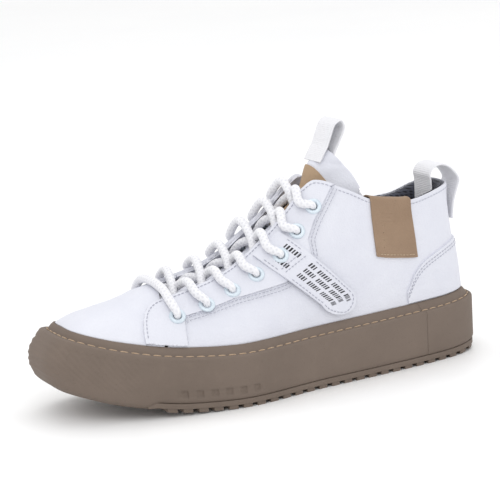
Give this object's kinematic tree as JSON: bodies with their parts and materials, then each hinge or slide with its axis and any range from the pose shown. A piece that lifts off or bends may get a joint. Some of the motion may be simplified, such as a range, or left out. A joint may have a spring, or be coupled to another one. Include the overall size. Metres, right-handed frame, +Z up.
{
  "type": "high-top sneaker",
  "caption": "Left white leather high-top sneaker on a thick taupe cupsole, with round white laces, a side strap, tan tags and webbing pull loops.",
  "frame": {"origin": "on the ground, under the middle of the shoe's bounding box", "axes": "+X from toe to heel, +Y to the inner (medial) side, +Z up"},
  "size_m": [0.309, 0.1018, 0.1664],
  "materials": {
    "white_leather": "soft satin, fine grain",
    "tan_leather": "matt, dark tan",
    "sole_rubber": "matt taupe",
    "dark_mesh": "charcoal spacer mesh",
    "foam": "cut foam",
    "board": "pressed fibre board",
    "stiffener": "matt",
    "thread": "waxed thread",
    "webbing": "ribbed webbing",
    "lace": "round braid",
    "eyelet": "pale blue-white enamel",
    "aglet_plastic": "clear-coated",
    "hook_and_loop": "napped"
  },
  "bodies": {
    "root": {"vamp": "white_leather", "quarter_lateral": "white_leather", "quarter_medial": "white_leather", "eyestay_lateral": "white_leather", "eyestay_medial": "white_leather", "heel_panel": "white_leather", "strap_root": "white_leather", "strap_medial": "white_leather", "tread_outsole": "sole_rubber", "cup_sidewall": "sole_rubber", "heel_bumper": "sole_rubber", "collar_tag": "tan_leather", "footbed": "dark_mesh", "vamp_lining": "dark_mesh", "quarter_lining": "dark_mesh", "collar_foam": "foam", "midsole_core": "foam", "insole_board": "board", "toe_puff": "stiffener", "heel_counter": "stiffener", "rand_stitching": "thread", "heel_loop_inner_tail": "webbing", "heel_loop_outer_tail": "webbing", "shoelace": "lace", "eyelet_lateral_1": "eyelet", "eyelet_lateral_2": "eyelet", "eyelet_lateral_3": "eyelet", "eyelet_lateral_4": "eyelet", "eyelet_lateral_5": "eyelet", "eyelet_lateral_6": "eyelet", "eyelet_lateral_7": "eyelet", "eyelet_medial_1": "eyelet", "eyelet_medial_2": "eyelet", "eyelet_medial_3": "eyelet", "eyelet_medial_4": "eyelet", "eyelet_medial_5": "eyelet", "eyelet_medial_6": "eyelet", "eyelet_medial_7": "eyelet", "aglet_lateral": "aglet_plastic", "aglet_medial": "aglet_plastic", "loop_pad": "hook_and_loop"},
    "tongue": {"tongue_face": "white_leather", "tongue_foam": "foam", "tongue_lining": "dark_mesh", "tongue_patch": "tan_leather"},
    "tongue_loop": {"tongue_pull_loop": "webbing"},
    "heel_loop": {"heel_pull_loop": "webbing"},
    "strap": {"strap_flap": "white_leather", "hook_pad": "hook_and_loop"}
  },
  "joints": [
    {"name": "tongue_bend", "type": "hinge", "parent": "root", "child": "tongue", "pos_m": [-0.0735, 0.0065, 0.062], "axis": [0, 1, 0], "range_deg": [0, 5]},
    {"name": "tongue_loop_bend", "type": "hinge", "parent": "tongue", "child": "tongue_loop", "pos_m": [0.0516, 0.0044, 0.1497], "axis": [0, -1, 0], "range_deg": [0, 30]},
    {"name": "heel_loop_bend", "type": "hinge", "parent": "root", "child": "heel_loop", "pos_m": [0.1475, 0.0016, 0.11], "axis": [0, 1, 0], "range_deg": [0, 15]},
    {"name": "strap_lift", "type": "hinge", "parent": "root", "child": "strap", "pos_m": [0.01103, -0.03284, 0.08178], "axis": [-0.8917, -0.0676, -0.4475], "range_deg": [0, 45]}
  ]
}
